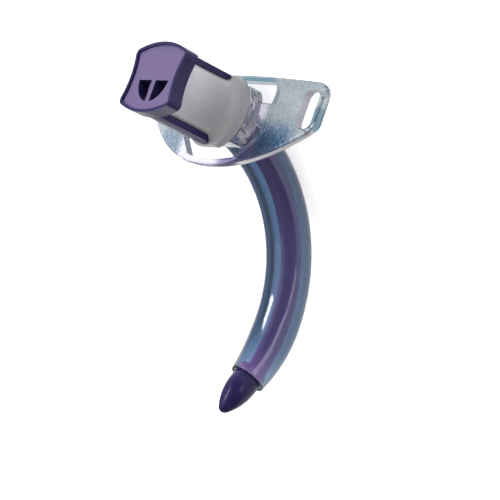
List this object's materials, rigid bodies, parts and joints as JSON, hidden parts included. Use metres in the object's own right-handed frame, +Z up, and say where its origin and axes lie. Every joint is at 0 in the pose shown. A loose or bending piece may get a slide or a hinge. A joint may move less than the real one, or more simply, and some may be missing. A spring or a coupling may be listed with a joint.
{
  "type": "tracheostomy tube",
  "caption": "Curved clear tracheostomy tube with a swept neck plate, strap slots, a white tapered connector and a ribbed bullet-nosed obturator pushed in; it lies on its back.",
  "frame": {"origin": "centre of the bounding box at the level of the surface the tube lies on", "axes": "+Z up, +X the way the connector leans along the surface, +Y across the neck plate; the tube lies on the outside of its bend and on the upper edge of both wings"},
  "size_m": [0.0914, 0.0684, 0.0504],
  "materials": {
    "clear_tube": "clear, glossy",
    "frosted_plate": "frosted, clear",
    "white_connector": "smooth",
    "purple_obturator": "smooth"
  },
  "bodies": {
    "root": {"cannula": "clear_tube", "neck_flange": "frosted_plate", "connector": "white_connector", "obturator": "purple_obturator"}
  },
  "joints": []
}
